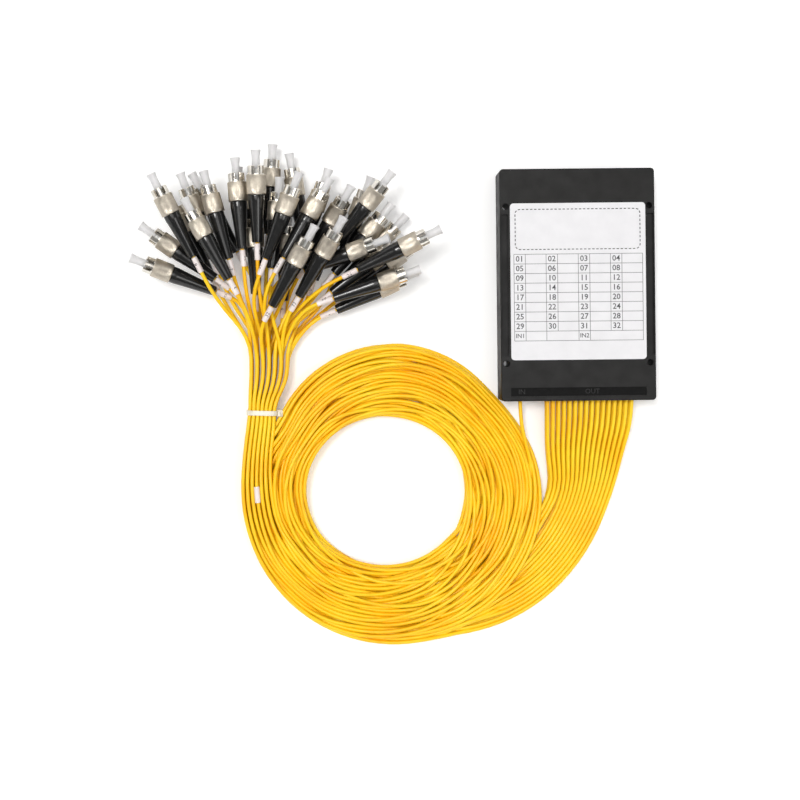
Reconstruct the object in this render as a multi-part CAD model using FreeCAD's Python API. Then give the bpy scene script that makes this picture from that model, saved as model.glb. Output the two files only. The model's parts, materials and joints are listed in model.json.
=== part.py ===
"""A 1 x 32 PLC fibre splitter: a flat plastic cassette, one input and 32 output cords wound in one
coil and tied, and an FC connector with a dust cap on the end of every cord.

Millimetres, +Z up. The origin is under the middle of the cassette, on the surface that it lies on.
The cords leave through the cassette's -Y face. A connector's own axis runs forward along its +X,
from 0 at the back face of its coupling nut.
"""

import FreeCAD, Part
import math
import os

Vector = FreeCAD.Vector
Rotation = FreeCAD.Rotation

# ---- fits ----
CLOSE_FIT = 0.05  # round pieces that slide into one another
RUNNING_FIT = 0.08  # the nut on its sleeve
LID_FIT = 0.10  # cover lip inside the tray

# ---- cassette ----
CASE_WIDTH = 80.0
CASE_LENGTH = 120.0
CASE_HEIGHT = 18.0
COVER_HEIGHT = 5.0
WALL = 2.0
FLOOR = 2.0
LID = 1.8
CASE_CORNER = 2.0
CASE_EDGE = 0.7
HOLE_TO_SIDE = 3.0
HOLE_TO_END = 19.5
HOLE_DIAMETER = 3.4
BOSS_DIAMETER = 5.8
LIP_THICKNESS = 1.0
LIP_DEPTH = 1.5
GROOVE_WIDTH = 3.4
GROOVE_DEPTH = 1.6
GROOVE_RIM = 0.8
GROOVE_FLOOR = 1.6
BOSS_PAD = 4.0

# ---- label and marking strip on the cover ----
LABEL_TO_SIDE = 5.1
LABEL_TO_END = 19.55
LABEL_THICKNESS = 0.2
LABEL_CORNER = 1.8
LABEL_X = 0.2
LABEL_Y = 1.7
STRIP_TO_SIDE = 5.0
STRIP_LENGTH = 4.4
STRIP_DEPTH = 0.4
STRIP_TO_EDGE = 2.6

# ---- cord outlet ----
OUTPUTS = 32
COLUMNS = 16
CORD_DIAMETER = 2.0
COLUMN_PITCH = 2.93
COMB_TO_SIDE = 7.0
OUTPUTS_TO_COMB_END = 4.35
INPUT_TO_COMB_END = 3.6
ROW_SPACING = 4.6
STRAIGHT_RUN = 9.0  # how far the cords come straight out of the cassette
COMB_DEPTH = 6.0
COMB_MARGIN = 3.5  # under the comb and over it
FLANGE_SIDE = 1.5
FLANGE_DEPTH = 1.5

# ---- optics inside the cassette ----
MODULE_WIDTH = 7.0
MODULE_HEIGHT = 4.0
MODULE_LENGTH = 60.0
MODULE_WALL = 0.4
FIBRE_TO_WALL = 4.0
PLUG_LENGTH = 2.0
CRADLE_WIDTH = 12.0
CRADLE_THICKNESS = 2.0
CRADLE_NOTCH = 2.0
CRADLE_INSET = 8.0
BUFFER_DIAMETER = 0.9
CHIP_WIDTH = 4.5
CHIP_HEIGHT = 2.5
CHIP_LENGTH = 21.0
INPUT_BLOCK_LENGTH = 6.0
INPUT_BLOCK_WIDTH = 3.2
OUTPUT_BLOCK_LENGTH = 10.0
OUTPUT_BLOCK_WIDTH = 5.5
RIBBONS = 4
RIBBON_WIDTH = 2.0
RIBBON_THICKNESS = 0.3
RIBBON_SPACING = 0.5
FANOUT_LENGTH = 8.0
FANOUT_HEIGHT = 8.0
FANOUT_GAP = 0.5
FANOUT_TO_COMB = 8.0
SHELF_HEIGHT = 3.0
POST_WIDTH = 3.0
POST_SPAN = 35.0

# ---- FC connector, along its own axis ----
NUT_DIAMETER = 10.0
NUT_LENGTH = 10.0
NUT_FLATS = 20
NUT_LIP = 1.5
NUT_CHAMFER = 0.4
NECK_DIAMETER = 6.6
SLEEVE_DIAMETER = 8.6
SLEEVE_BORE = 6.8
SLEEVE_BORE_DEPTH = 6.0
SLEEVE_REACH = 4.5  # how far the sleeve stands out of the drawn-back nut
SHOULDER_GAP = 0.1
KEY_WIDTH = 2.1
KEY_SLOT = 1.5
KEY_HEIGHT = 0.5
KEY_LENGTH = 3.9
CRIMP_DIAMETER = 4.8
CRIMP_LENGTH = 8.0
FERRULE_DIAMETER = 2.5
FERRULE_LENGTH = 10.5
FERRULE_REACH = 2.0
CAP_NECK_DIAMETER = 4.1
CAP_TIP_DIAMETER = 5.2
CAP_REACH = 8.0
CAP_FLARE = 3.4
CAP_DEPTH = 3.2
BOOT_LENGTH = 24.5
BOOT_SHOULDER = 3.0
BOOT_TIP_DIAMETER = 5.1
MARKER_DIAMETER = 3.0
MARKER_LENGTH = 8.5
MARKER_GAP = 0.6

# ---- coil, tied run and tie ----
COIL_X = -96.0
COIL_Y = -107.3
COIL_HEIGHT = 11.0
COIL_EDGE = 3.2
COIL_HOLE_X = -100.0
COIL_HOLE_Y = -106.5
COIL_HOLE_DIAMETER = 81.0
COIL_RADIUS = 78.6
JOIN_FIRST = 6.0
JOIN_LAST = 68.0
JOIN_PITCH = 2.05
# The coil's outline: direction in degrees and how far it lies outside the coil's radius there. It
# gives way to the cassette's corner at 40 degrees and to the tied run at 150.
COIL_OUTLINE = [(0, -0.2), (20, -3.0), (40, -6.6), (62, -4.0), (90, -0.8), (118, -2.2),
                (148, -8.8), (166, -4.0), (190, 0.4), (225, 0.6), (270, 0.0), (318, 0.2)]
TIED_X = -164.2
TIED_PITCH = 2.04
TIED_COLUMNS = [4, 5, 5, 5, 5, 5, 4]
TIED_ROWS = 5
TIED_END_Y = -47.0
TIE_Y = -65.0
TIED_START_X = -166.4
TIED_START_Y = -90.0
TIED_MARGIN = 0.3
TIE_WIDTH = 2.8
TIE_THICKNESS = 1.0
TIE_HEAD = (3.4, 3.8, 4.2)
TIED_BOTTOM = TIE_THICKNESS  # the tie's band passes under the cords

# ---- where the connectors lie: nut's back face x, y, z, heading, upward tilt, and the cord's
# column and row in the tied run ----
CONNECTORS = [
    (-210.1, 7.8, 15.3, 158, 12.5, 0, 1),
    (-188.8, 41.2, 6.2, 119.5, 5.5, 4, 0),
    (-202.4, 30.0, 5.2, 117, 2.5, 0, 0),
    (-158.7, 53.1, 7.0, 86.5, 1, 2, 1),
    (-145.3, 48.6, 5.8, 99, 5, 3, 2),
    (-135.5, 40.4, 12.7, 70.5, 0.5, 2, 2),
    (-128.1, 27.6, 5.2, 70, 0, 6, 3),
    (-113.9, 36.8, 7.8, 69, 7, 6, 0),
    (-98.1, 12.2, 5.5, 35.5, 4.5, 6, 2),
    (-103.4, 21.7, 6.0, 45, 2, 3, 1),
    (-109.8, 26.1, 12.5, 49.5, 1, 4, 3),
    (-172.7, 41.4, 6.6, 97.5, 3.5, 2, 0),
    (-107.4, 11.9, 16.1, 37, 0, 4, 1),
    (-166.8, 21.5, 13.0, 90, 5, 1, 2),
    (-197.2, 39.0, 13.3, 110, 10, 1, 0),
    (-150.9, 18.0, 8.7, 86, 3, 5, 1),
    (-102.6, -1.2, 7.9, 24.5, 1.5, 6, 1),
    (-208.5, 38.1, 24.8, 116, 8.5, 0, 3),
    (-207.5, 19.8, 14.2, 144, 5, 0, 2),
    (-174.5, 44.4, 20.1, 94, 0, 1, 1),
    (-155.4, 34.5, 17.6, 84.5, 0, 5, 4),
    (-138.7, 36.1, 23.0, 59, 0.5, 3, 4),
    (-109.2, 41.3, 20.1, 50.5, 11, 4, 4),
    (-118.1, 17.0, 21.1, 19.5, 11, 3, 0),
    (-91.3, 18.9, 26.8, 25, 7.5, 4, 2),
    (-102.7, 1.7, 20.5, 18, 0.5, 5, 2),
    (-186.3, 38.5, 20.1, 105.5, 0, 1, 3),
    (-164.9, 47.5, 24.7, 90, 6.5, 3, 3),
    (-151.1, 37.2, 27.1, 67.5, 8, 2, 3),
    (-127.7, 33.1, 15.5, 58, 15, 5, 0),
    (-191.0, 25.8, 26.1, 118.5, 0.5, 1, 4),
    (-145.7, 11.4, 27.2, 60.5, 11.5, 2, 4),
    (-131.5, 15.8, 27.0, 59, 15, 5, 3),
]

# ---- worked out from the sizes above ----
CORD_RADIUS = CORD_DIAMETER / 2
FRONT_Y = -CASE_LENGTH / 2
TRAY_HEIGHT = CASE_HEIGHT - COVER_HEIGHT
OUTLET_Z = CASE_HEIGHT / 2
COMB_BOTTOM = COMB_MARGIN
COMB_TOP = CASE_HEIGHT - COMB_MARGIN
HOLE_X = CASE_WIDTH / 2 - HOLE_TO_SIDE
HOLE_Y = CASE_LENGTH / 2 - HOLE_TO_END
LABEL_WIDTH = CASE_WIDTH - 2 * LABEL_TO_SIDE
LABEL_LENGTH = CASE_LENGTH - 2 * LABEL_TO_END
COMB_WIDTH = CASE_WIDTH - 2 * COMB_TO_SIDE
COMB_BACK_Y = FRONT_Y + COMB_DEPTH
FIRST_COLUMN_X = COMB_WIDTH / 2 - OUTPUTS_TO_COMB_END - COLUMN_PITCH * (COLUMNS - 1)
INPUT_X = INPUT_TO_COMB_END - COMB_WIDTH / 2
MODULE_X = FIRST_COLUMN_X + COLUMN_PITCH * (COLUMNS - 1) / 2
FIBRE_BEND = (MODULE_X - INPUT_X) / 2
MODULE_TOP_Y = CASE_LENGTH / 2 - WALL - FIBRE_TO_WALL - FIBRE_BEND
MODULE_Z = OUTLET_Z - MODULE_HEIGHT / 2
MODULE_BOTTOM_Y = MODULE_TOP_Y - MODULE_LENGTH
CHIP_Z = MODULE_Z + MODULE_WALL
INPUT_BLOCK_Y = MODULE_TOP_Y - 2 * INPUT_BLOCK_LENGTH
CHIP_Y = INPUT_BLOCK_Y - CHIP_LENGTH
OUTPUT_BLOCK_Y = CHIP_Y - OUTPUT_BLOCK_LENGTH
FANOUT_Y = COMB_BACK_Y + FANOUT_TO_COMB
ROW_Z = (OUTLET_Z - ROW_SPACING / 2, OUTLET_Z + ROW_SPACING / 2)
TIED_WIDTH = TIED_PITCH * len(TIED_COLUMNS) + TIED_MARGIN
TIED_HEIGHT = TIED_PITCH * TIED_ROWS + TIED_MARGIN
TIED_Z = TIED_BOTTOM + TIED_HEIGHT / 2
SLEEVE_TIP = NUT_LENGTH + SLEEVE_REACH


# ---- shapes used again and again ----
def slab(width, length, height, x, y, z):
    """A block centred on x and y, standing on z."""
    return Part.makeBox(width, length, height, Vector(x - width / 2, y - length / 2, z))


def rounded_slab(width, length, height, corner, x, y, z):
    block = slab(width, length, height, x, y, z)
    return block.makeFillet(corner, edges_along(block, Vector(0, 0, 1)))


def edges_along(shape, direction):
    found = []
    for edge in shape.Edges:
        start, end = edge.Vertexes[0].Point, edge.Vertexes[-1].Point
        if (end - start).cross(direction).Length < 1e-6 < (end - start).Length:
            found.append(edge)
    return found


def upright(diameter, height, x, y, z):
    return Part.makeCylinder(diameter / 2, height, Vector(x, y, z))


def lengthwise(diameter, length, x, y, z):
    """A round bar or bore along +Y, from y."""
    return Part.makeCylinder(diameter / 2, length, Vector(x, y, z), Vector(0, 1, 0))


def turned(profile):
    """A solid of revolution about X from (along, radius) points."""
    points = [Vector(along, 0, radius) for along, radius in profile]
    face = Part.Face(Part.makePolygon(points + points[:1]))
    return face.revolve(Vector(0, 0, 0), Vector(1, 0, 0), 360)


def save(name, solids):
    shape = solids[0] if len(solids) == 1 else Part.makeCompound(solids)
    shape.exportStep(f"parts/{name}.step")


# ---- cords ----
def bend_radius(before, corner, after):
    """The largest arc that two runs allow: 0.45 of the shorter, over the tangent of half the turn."""
    into, out = corner - before, after - corner
    return 0.45 * min(into.Length, out.Length) / math.tan(into.getAngle(out) / 2)


def cord_path(points):
    """Straight runs joined by tangent arcs, each as large as its two runs allow."""
    edges, at = [], points[0]
    for before, corner, after in zip(points, points[1:], points[2:]):
        into, out = corner - before, after - corner
        reach = 0.45 * min(into.Length, out.Length)
        into.normalize()
        out.normalize()
        start, end = corner - into * reach, corner + out * reach
        to_centre = out - into
        to_centre.normalize()
        radius = bend_radius(before, corner, after)
        half_turn = into.getAngle(out) / 2
        middle = corner + to_centre * radius * (1 / math.cos(half_turn) - 1)
        edges += [Part.LineSegment(at, start).toShape(), Part.Arc(start, middle, end).toShape()]
        at = end
    edges.append(Part.LineSegment(at, points[-1]).toShape())
    return Part.Wire(edges)


def cord_tube(points, diameter=CORD_DIAMETER):
    path = cord_path(points)
    section = Part.makeCircle(diameter / 2, points[0], points[1] - points[0])
    tube = path.makePipe(Part.Face(Part.Wire(section)))
    expected = path.Length * math.pi * diameter ** 2 / 4
    if abs(tube.Volume / expected - 1) > 0.001:
        print("volume is off on the cord from", points[0])
    return tube


def column_x(column):
    return FIRST_COLUMN_X + COLUMN_PITCH * column


def output_route(column, row):
    """One output cord from the comb's back face to where it joins the coil's side.

    The columns lie side by side beside the coil and go over to it one after the other, the
    innermost first, at an angle that is counted clockwise from +X. Its row lies on the surface or
    on the row below.
    """
    out_z = ROW_Z[row]
    side_z = (1.2, 3.3)[row]
    middle_z = (3.6, 7.4)[row]
    joins_at = JOIN_FIRST + (JOIN_LAST - JOIN_FIRST) * column / (COLUMNS - 1)
    per_degree = JOIN_PITCH * (COLUMNS - 1) / (JOIN_LAST - JOIN_FIRST)
    stand_off = CORD_RADIUS + 0.3 + 0.7 * row
    x = column_x(column)
    points = [
        Vector(x, COMB_BACK_Y, out_z),
        Vector(x, FRONT_Y - STRAIGHT_RUN, out_z),
        Vector(FIRST_COLUMN_X + 0.3 + 2.62 * column, FRONT_Y - 26.0, middle_z),
    ]
    steps = max(1, round(joins_at / 13.0))
    for step in range(steps + 1):
        angle = joins_at * step / steps
        radius = COIL_RADIUS + stand_off + per_degree * (joins_at - angle)
        turn = math.radians(-angle)
        points.append(Vector(COIL_X + radius * math.cos(turn), COIL_Y + radius * math.sin(turn),
                             side_z + 0.5 * (1 - step / steps)))
    return points


INPUT_ROUTE = [Vector(INPUT_X, COMB_BACK_Y, OUTLET_Z),
               Vector(INPUT_X, FRONT_Y - STRAIGHT_RUN, OUTLET_Z),
               Vector(INPUT_X + 2.8, FRONT_Y - 22.0, 7.4),
               Vector(INPUT_X + 6.4, FRONT_Y - 34.0, 5.2)]


def connector_axis(place):
    heading, tilt = math.radians(place[3]), math.radians(place[4])
    flat = math.cos(tilt)
    return Vector(flat * math.cos(heading), flat * math.sin(heading), math.sin(tilt))


def tied_place(place):
    """Where a connector's cord lies in the tied run: the height of a column's middle is the same
    in all of them."""
    column, row = place[5], place[6]
    across = column - (len(TIED_COLUMNS) - 1) / 2
    up = row + 0.5 + (TIED_ROWS - TIED_COLUMNS[column]) / 2
    return Vector(TIED_X + across * TIED_PITCH, TIED_END_Y,
                  TIED_BOTTOM + TIED_MARGIN / 2 + up * TIED_PITCH)


def fan_route(place):
    """One cord from the end of the tied run into the back of its connector."""
    back = Vector(place[0], place[1], place[2])
    axis = connector_axis(place)
    start = tied_place(place)
    tip = back - axis * BOOT_LENGTH
    gap = (tip - start).Length
    behind = tip - axis * gap * 0.35
    behind.z = max(behind.z, CORD_RADIUS + 0.2)
    return [start, start + Vector(0, gap * 0.3, 0), behind,
            back - axis * (CRIMP_LENGTH + CLOSE_FIT)]


# ---- cassette ----
def corner_places():
    return [(x, y) for x in (-HOLE_X, HOLE_X) for y in (-HOLE_Y, HOLE_Y)]


def base_tray():
    inner_width, inner_length = CASE_WIDTH - 2 * WALL, CASE_LENGTH - 2 * WALL
    tray = rounded_slab(CASE_WIDTH, CASE_LENGTH, TRAY_HEIGHT, CASE_CORNER, 0, 0, 0)
    tray = tray.cut(rounded_slab(inner_width, inner_length, TRAY_HEIGHT, CASE_CORNER / 2,
                                 0, 0, FLOOR))
    ribs = [upright(BOSS_DIAMETER, TRAY_HEIGHT - FLOOR, x, y, FLOOR) for x, y in corner_places()]
    ribs += cradles() + [fanout_shelf()] + fibre_posts()
    tray = tray.fuse(ribs)
    window = slab(COMB_WIDTH, 3 * WALL, TRAY_HEIGHT, 0, FRONT_Y, COMB_BOTTOM)
    holes = [upright(HOLE_DIAMETER, TRAY_HEIGHT, x, y, 0) for x, y in corner_places()]
    return tray.cut([window] + holes).removeSplitter()


def cradles():
    """Two notched ribs that carry the splitter module."""
    found = []
    for y in (MODULE_BOTTOM_Y + CRADLE_INSET, MODULE_TOP_Y - CRADLE_INSET):
        height = MODULE_Z + CRADLE_NOTCH - FLOOR
        rib = slab(CRADLE_WIDTH, CRADLE_THICKNESS, height, MODULE_X, y, FLOOR)
        notch = slab(MODULE_WIDTH + 2 * CLOSE_FIT, CRADLE_THICKNESS, CRADLE_NOTCH,
                     MODULE_X, y, MODULE_Z)
        found.append(rib.cut(notch))
    return found


def fanout_width():
    return COLUMN_PITCH * COLUMNS / RIBBONS - FANOUT_GAP


def fanout_shelf():
    width = COLUMN_PITCH * COLUMNS
    return slab(width, FANOUT_LENGTH, SHELF_HEIGHT, MODULE_X, FANOUT_Y + FANOUT_LENGTH / 2, FLOOR)


def fibre_posts():
    height = OUTLET_Z - BUFFER_DIAMETER / 2 - CLOSE_FIT - FLOOR
    return [slab(POST_WIDTH, POST_WIDTH, height, INPUT_X, y, FLOOR)
            for y in (-POST_SPAN / 2, POST_SPAN / 2)]


def top_cover():
    cover = rounded_slab(CASE_WIDTH, CASE_LENGTH, COVER_HEIGHT, CASE_CORNER, 0, 0, TRAY_HEIGHT)
    top_edges = [e for e in cover.Edges if e.BoundBox.ZMin > CASE_HEIGHT - 1e-3]
    cover = cover.makeFillet(CASE_EDGE, top_edges)
    return cover.cut(cover_hollows()).fuse(cover_lip()).removeSplitter()


def groove_x():
    return CASE_WIDTH / 2 - GROOVE_RIM - GROOVE_WIDTH / 2


def cover_hollows():
    inner_length = CASE_LENGTH - 2 * (WALL + LID_FIT + LIP_THICKNESS)
    middle_width = 2 * (groove_x() - GROOVE_WIDTH / 2 - GROOVE_FLOOR)
    room = CASE_HEIGHT - LID - TRAY_HEIGHT
    hollows = [slab(middle_width, inner_length, room, 0, 0, TRAY_HEIGHT)]
    groove_length = 2 * (HOLE_Y - BOSS_PAD)
    side_room = CASE_HEIGHT - GROOVE_DEPTH - GROOVE_FLOOR - TRAY_HEIGHT
    inner_width = CASE_WIDTH - 2 * (WALL + LID_FIT + LIP_THICKNESS)
    hollows.append(slab(inner_width, groove_length, side_room, 0, 0, TRAY_HEIGHT))
    for side in (-1, 1):
        hollows.append(slab(GROOVE_WIDTH, groove_length, GROOVE_DEPTH, side * groove_x(), 0,
                            CASE_HEIGHT - GROOVE_DEPTH))
    hollows += [upright(HOLE_DIAMETER, CASE_HEIGHT, x, y, 0) for x, y in corner_places()]
    hollows.append(rounded_slab(LABEL_WIDTH + 2 * LID_FIT, LABEL_LENGTH + 2 * LID_FIT,
                                LABEL_THICKNESS, LABEL_CORNER, LABEL_X, LABEL_Y,
                                CASE_HEIGHT - LABEL_THICKNESS))
    hollows.append(slab(CASE_WIDTH - 2 * STRIP_TO_SIDE, STRIP_LENGTH, STRIP_DEPTH, 0,
                        FRONT_Y + STRIP_TO_EDGE + STRIP_LENGTH / 2, CASE_HEIGHT - STRIP_DEPTH))
    hollows.append(slab(COMB_WIDTH, 3 * COMB_DEPTH, COMB_TOP - TRAY_HEIGHT, 0, FRONT_Y,
                        TRAY_HEIGHT))
    return hollows


def cover_lip():
    """The lip that locates the cover inside the tray, with gaps at the bosses and the comb."""
    outer_width = CASE_WIDTH - 2 * (WALL + LID_FIT)
    outer_length = CASE_LENGTH - 2 * (WALL + LID_FIT)
    bottom = TRAY_HEIGHT - LIP_DEPTH
    lip = rounded_slab(outer_width, outer_length, LIP_DEPTH, CASE_CORNER / 2, 0, 0, bottom)
    gaps = [slab(outer_width - 2 * LIP_THICKNESS, outer_length - 2 * LIP_THICKNESS, LIP_DEPTH,
                 0, 0, bottom)]
    gap_length = BOSS_DIAMETER + 4 * LID_FIT
    gaps += [slab(gap_length, gap_length, LIP_DEPTH, x, y, bottom) for x, y in corner_places()]
    comb_gap = COMB_WIDTH + 2 * (FLANGE_SIDE + LID_FIT)
    gaps.append(slab(comb_gap, 3 * COMB_DEPTH, LIP_DEPTH, 0, FRONT_Y, bottom))
    return lip.cut(gaps).Solids


def label_sheet():
    return rounded_slab(LABEL_WIDTH, LABEL_LENGTH, LABEL_THICKNESS, LABEL_CORNER,
                        LABEL_X, LABEL_Y, CASE_HEIGHT - LABEL_THICKNESS)


def cord_comb():
    """The block that fills the outlet and holds the cords in two rows, with the input apart."""
    middle_y = FRONT_Y + COMB_DEPTH / 2
    comb = slab(COMB_WIDTH, COMB_DEPTH, COMB_TOP - COMB_BOTTOM, 0, middle_y, COMB_BOTTOM)
    flange_y = FRONT_Y + WALL + FLANGE_DEPTH / 2
    flange = slab(COMB_WIDTH + 2 * FLANGE_SIDE, FLANGE_DEPTH, TRAY_HEIGHT - LID_FIT - FLOOR,
                  0, flange_y, FLOOR)
    bore = CORD_DIAMETER + 2 * CLOSE_FIT
    holes = [lengthwise(bore, COMB_DEPTH, column_x(column), FRONT_Y, z)
             for column in range(COLUMNS) for z in ROW_Z]
    holes.append(lengthwise(bore, COMB_DEPTH, INPUT_X, FRONT_Y, OUTLET_Z))
    return comb.fuse(flange).cut(holes).removeSplitter()


# ---- optics ----
def module_tube():
    middle = MODULE_TOP_Y - MODULE_LENGTH / 2
    tube = slab(MODULE_WIDTH, MODULE_LENGTH, MODULE_HEIGHT, MODULE_X, middle, MODULE_Z)
    return tube.cut(slab(MODULE_WIDTH - 2 * MODULE_WALL, MODULE_LENGTH,
                         MODULE_HEIGHT - 2 * MODULE_WALL, MODULE_X, middle, CHIP_Z))


def module_plugs():
    """The seals in the two ends of the module: one round the input fibre, one round the ribbons."""
    width, height = MODULE_WIDTH - 2 * MODULE_WALL, MODULE_HEIGHT - 2 * MODULE_WALL
    top = slab(width, PLUG_LENGTH, height, MODULE_X, MODULE_TOP_Y - PLUG_LENGTH / 2, CHIP_Z)
    bottom = slab(width, PLUG_LENGTH, height, MODULE_X, MODULE_BOTTOM_Y + PLUG_LENGTH / 2, CHIP_Z)
    fibre = lengthwise(BUFFER_DIAMETER + 2 * CLOSE_FIT, PLUG_LENGTH, MODULE_X,
                       MODULE_TOP_Y - PLUG_LENGTH, OUTLET_Z)
    slot = slab(RIBBON_WIDTH + 2 * CLOSE_FIT, PLUG_LENGTH, RIBBONS * RIBBON_SPACING, MODULE_X,
                MODULE_BOTTOM_Y + PLUG_LENGTH / 2, ribbon_z(0) - CLOSE_FIT)
    return [top.cut(fibre), bottom.cut(slot)]


def input_fibre():
    """The input's buffered fibre: up beside the module, round one half turn and into its end."""
    start = Vector(INPUT_X, COMB_BACK_Y, OUTLET_Z)
    left, right = Vector(INPUT_X, MODULE_TOP_Y, OUTLET_Z), Vector(MODULE_X, MODULE_TOP_Y, OUTLET_Z)
    top = Vector(INPUT_X + FIBRE_BEND, MODULE_TOP_Y + FIBRE_BEND, OUTLET_Z)
    end = Vector(MODULE_X, INPUT_BLOCK_Y + INPUT_BLOCK_LENGTH, OUTLET_Z)
    path = Part.Wire([Part.LineSegment(start, left).toShape(), Part.Arc(left, top, right).toShape(),
                      Part.LineSegment(right, end).toShape()])
    section = Part.makeCircle(BUFFER_DIAMETER / 2, start, Vector(0, 1, 0))
    return path.makePipe(Part.Face(Part.Wire(section)))


def chip_piece(width, length, y):
    return slab(width, length, CHIP_HEIGHT, MODULE_X, y + length / 2, CHIP_Z)


def ribbon_z(number):
    middle = CHIP_Z + CHIP_HEIGHT / 2
    return middle + (number - RIBBONS / 2) * RIBBON_SPACING + RIBBON_SPACING / 4


def ribbon(number):
    """A ribbon of eight fibres, from the output block to its own fan-out block."""
    half = RIBBON_WIDTH / 2
    end_x = MODULE_X + (number - (RIBBONS - 1) / 2) * COLUMN_PITCH * COLUMNS / RIBBONS
    end_y = FANOUT_Y + FANOUT_LENGTH
    z = ribbon_z(number)
    outline = [(MODULE_X - half, OUTPUT_BLOCK_Y), (MODULE_X + half, OUTPUT_BLOCK_Y),
               (MODULE_X + half, MODULE_BOTTOM_Y), (end_x + half, end_y),
               (end_x - half, end_y), (MODULE_X - half, MODULE_BOTTOM_Y)]
    points = [Vector(x, y, z) for x, y in outline]
    return Part.Face(Part.makePolygon(points + points[:1])).extrude(Vector(0, 0, RIBBON_THICKNESS))


def fanout_block(number):
    x = MODULE_X + (number - (RIBBONS - 1) / 2) * COLUMN_PITCH * COLUMNS / RIBBONS
    return slab(fanout_width(), FANOUT_LENGTH, FANOUT_HEIGHT, x, FANOUT_Y + FANOUT_LENGTH / 2,
                FLOOR + SHELF_HEIGHT)


def fanout_tubes():
    """The buffered fibres between the fan-out blocks and the ends of the output cords."""
    return [lengthwise(BUFFER_DIAMETER, FANOUT_TO_COMB, column_x(column), COMB_BACK_Y, z)
            for column in range(COLUMNS) for z in ROW_Z]


# ---- coil and tied run ----
def cord_coil():
    ring = []
    for angle, outside in COIL_OUTLINE:
        turn = math.radians(angle)
        radius = COIL_RADIUS + outside
        ring.append(Vector(COIL_X + radius * math.cos(turn), COIL_Y + radius * math.sin(turn), 0))
    outline = Part.BSplineCurve()
    outline.interpolate(Points=ring, PeriodicFlag=True)
    disc = Part.Face(Part.Wire(outline.toShape())).extrude(Vector(0, 0, COIL_HEIGHT))
    disc = disc.makeFillet(COIL_EDGE, level_edges(disc))
    hole = upright(COIL_HOLE_DIAMETER, COIL_HEIGHT, COIL_HOLE_X, COIL_HOLE_Y, 0)
    coil = disc.cut(hole)
    return coil.makeFillet(COIL_EDGE, [e for e in level_edges(coil) if is_round(e)])


def level_edges(shape):
    return [e for e in shape.Edges if e.BoundBox.ZLength < 1e-3
            and min(abs(e.BoundBox.ZMin), abs(e.BoundBox.ZMin - COIL_HEIGHT)) < 1e-3]


def is_round(edge):
    return edge.Curve.TypeId == "Part::GeomCircle"


def oval(x, y, width, height):
    """A rounded section across the tied run, with its middle at x, y."""
    corner = height * 0.35
    left, right = x - width / 2, x + width / 2
    low, high = TIED_Z - height / 2, TIED_Z + height / 2
    slant = corner * (1 - math.sqrt(0.5))
    edges = []
    marks = [((left, low + corner), (left + slant, low + slant), (left + corner, low)),
             ((right - corner, low), (right - slant, low + slant), (right, low + corner)),
             ((right, high - corner), (right - slant, high - slant), (right - corner, high)),
             ((left + corner, high), (left + slant, high - slant), (left, high - corner))]
    for number, arc in enumerate(marks):
        start, middle, end = [Vector(px, y, pz) for px, pz in arc]
        following = Vector(marks[(number + 1) % 4][0][0], y, marks[(number + 1) % 4][0][1])
        edges += [Part.Arc(start, middle, end).toShape(), Part.LineSegment(end, following).toShape()]
    return Part.Wire(edges)


def tied_run(coil):
    """The tied cords, from where they leave the coil to where they fan out."""
    sections = [oval(TIED_START_X, TIED_START_Y, TIED_WIDTH, TIED_HEIGHT),
                oval(TIED_X, TIE_Y - TIE_WIDTH, TIED_WIDTH, TIED_HEIGHT),
                oval(TIED_X, TIED_END_Y, TIED_WIDTH, TIED_HEIGHT)]
    return Part.makeLoft(sections, True, True).cut(coil)


def cable_tie():
    """A band round the tied run, with its locking head on the right and the cut end of its tail."""
    grown_width, grown_height = TIED_WIDTH + 2 * TIE_THICKNESS, TIED_HEIGHT + 2 * TIE_THICKNESS
    start = TIE_Y - TIE_WIDTH / 2
    through = Vector(0, TIE_WIDTH, 0)
    band = Part.Face(oval(TIED_X, start, grown_width, grown_height)).extrude(through)
    width, length, height = TIE_HEAD
    head = slab(width, length, height, TIED_X + grown_width / 2 + width / 2 - TIE_THICKNESS,
                TIE_Y, TIED_Z - height / 2)
    inside = Part.Face(oval(TIED_X, start - TIE_WIDTH, TIED_WIDTH, TIED_HEIGHT))
    inside = inside.extrude(3 * through)
    return band.fuse(head).cut(inside).removeSplitter()


# ---- FC connector ----
def coupling_nut():
    """A knurled nut with an inner lip at the back, which holds it on the sleeve's neck."""
    radius = NUT_DIAMETER / 2
    turn = 2 * math.pi / NUT_FLATS
    ring = [Vector(0, radius * math.cos(n * turn), radius * math.sin(n * turn))
            for n in range(NUT_FLATS)]
    body = Part.Face(Part.makePolygon(ring + ring[:1])).extrude(Vector(NUT_LENGTH, 0, 0))
    bore = SLEEVE_DIAMETER / 2 + RUNNING_FIT
    lip_bore = NECK_DIAMETER / 2 + RUNNING_FIT
    hollow = turned([(0, 0), (0, lip_bore), (NUT_LIP, lip_bore), (NUT_LIP, bore),
                     (NUT_LENGTH, bore), (NUT_LENGTH, 0)])
    return body.cut(hollow)


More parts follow.
